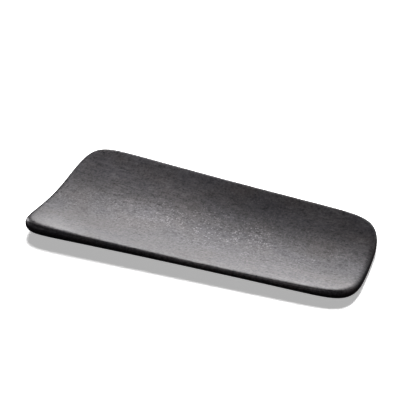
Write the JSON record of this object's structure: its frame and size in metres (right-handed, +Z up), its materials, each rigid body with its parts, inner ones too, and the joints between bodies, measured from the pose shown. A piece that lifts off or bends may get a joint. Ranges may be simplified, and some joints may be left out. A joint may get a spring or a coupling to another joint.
{
  "type": "massage stone",
  "caption": "Thin honed basalt slab bent into a shallow lengthwise trough, with rounded corners and rim, one end wider and thicker; laid warm on the body or drawn over it.",
  "frame": {"origin": "under the middle of the slab's bounding box, on the surface that it rests on", "axes": "+X along the slab towards its narrower, thinner end, +Y across it, +Z up, out of the trough"},
  "size_m": [0.2, 0.0974, 0.0193],
  "materials": {
    "basalt": "honed, fine grain, satin"
  },
  "bodies": {
    "root": {"massage_stone": "basalt"}
  },
  "joints": []
}
